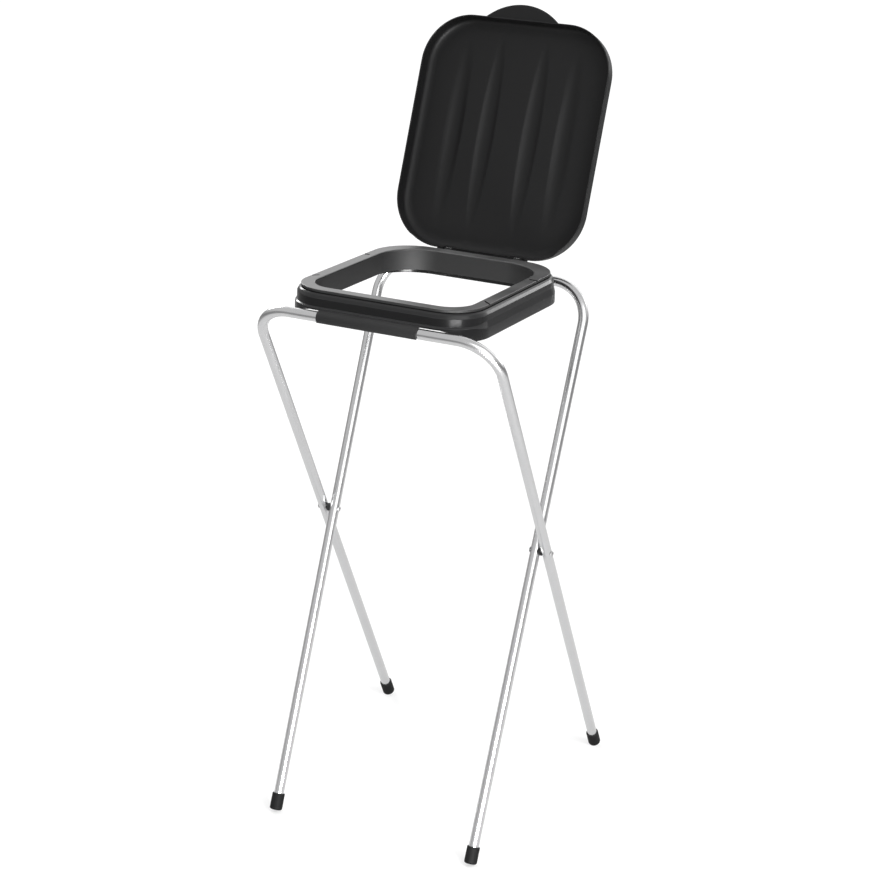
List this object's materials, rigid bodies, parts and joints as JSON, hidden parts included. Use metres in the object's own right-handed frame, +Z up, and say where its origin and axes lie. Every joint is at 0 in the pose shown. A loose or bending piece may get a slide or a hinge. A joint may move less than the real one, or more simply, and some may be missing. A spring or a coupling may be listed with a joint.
{
  "type": "folding bin bag holder",
  "caption": "Folding bin bag holder: crossed tube frames riveted at mid height carry a rounded bag collar with a clamping ring and a hinged fluted lid.",
  "frame": {"origin": "on the floor midway between the feet, in the plane of the pivot rivets", "axes": "+Z up, the front with the bar clip faces -Y, +X to the right seen from the front"},
  "size_m": [0.419, 0.5573, 1.2279],
  "materials": {
    "frame_tube": "bright plated steel tube, smooth and fairly glossy",
    "foot_plastic": "soft black plastic, satin",
    "rivet_steel": "plated steel",
    "spacer_plastic": "black plastic, matte",
    "pin_steel": "plain steel wire",
    "collar_plastic": "black moulded plastic, semi-gloss",
    "clamp_plastic": "black moulded plastic, satin top",
    "clip_plastic": "black moulded plastic, matte",
    "lid_plastic": "black moulded plastic, satin"
  },
  "bodies": {
    "rear_legs": {"rear_leg_frame": "frame_tube", "foot_cap_front_left": "foot_plastic", "foot_cap_front_right": "foot_plastic", "pivot_rivet_left": "rivet_steel", "pivot_rivet_right": "rivet_steel", "pivot_spacer_left": "spacer_plastic", "pivot_spacer_right": "spacer_plastic"},
    "front_legs": {"front_leg_frame": "frame_tube", "foot_cap_rear_left": "foot_plastic", "foot_cap_rear_right": "foot_plastic"},
    "collar": {"base_collar": "collar_plastic", "clamp_ring": "clamp_plastic", "front_bar_clip": "clip_plastic", "lid_hinge_pin_left": "pin_steel", "lid_hinge_pin_right": "pin_steel"},
    "lid": {"lid": "lid_plastic"}
  },
  "joints": [
    {"name": "scissor_fold", "type": "hinge", "parent": "rear_legs", "child": "front_legs", "pos_m": [0, 0, 0.45013], "axis": [-1, 0, 0], "range_deg": [0, 47]},
    {"name": "collar_swing", "type": "hinge", "parent": "rear_legs", "child": "collar", "pos_m": [0, 0.18396, 0.8281], "axis": [-1, 0, 0], "range_deg": [0, 89.3]},
    {"name": "lid_hinge", "type": "hinge", "parent": "collar", "child": "lid", "pos_m": [0, 0.17614, 0.85431], "axis": [1, 0, 0], "range_deg": [0, 109]}
  ],
  "couplings": [
    {"joint": "collar_swing", "follows": "scissor_fold", "ratio": 1.9}
  ]
}
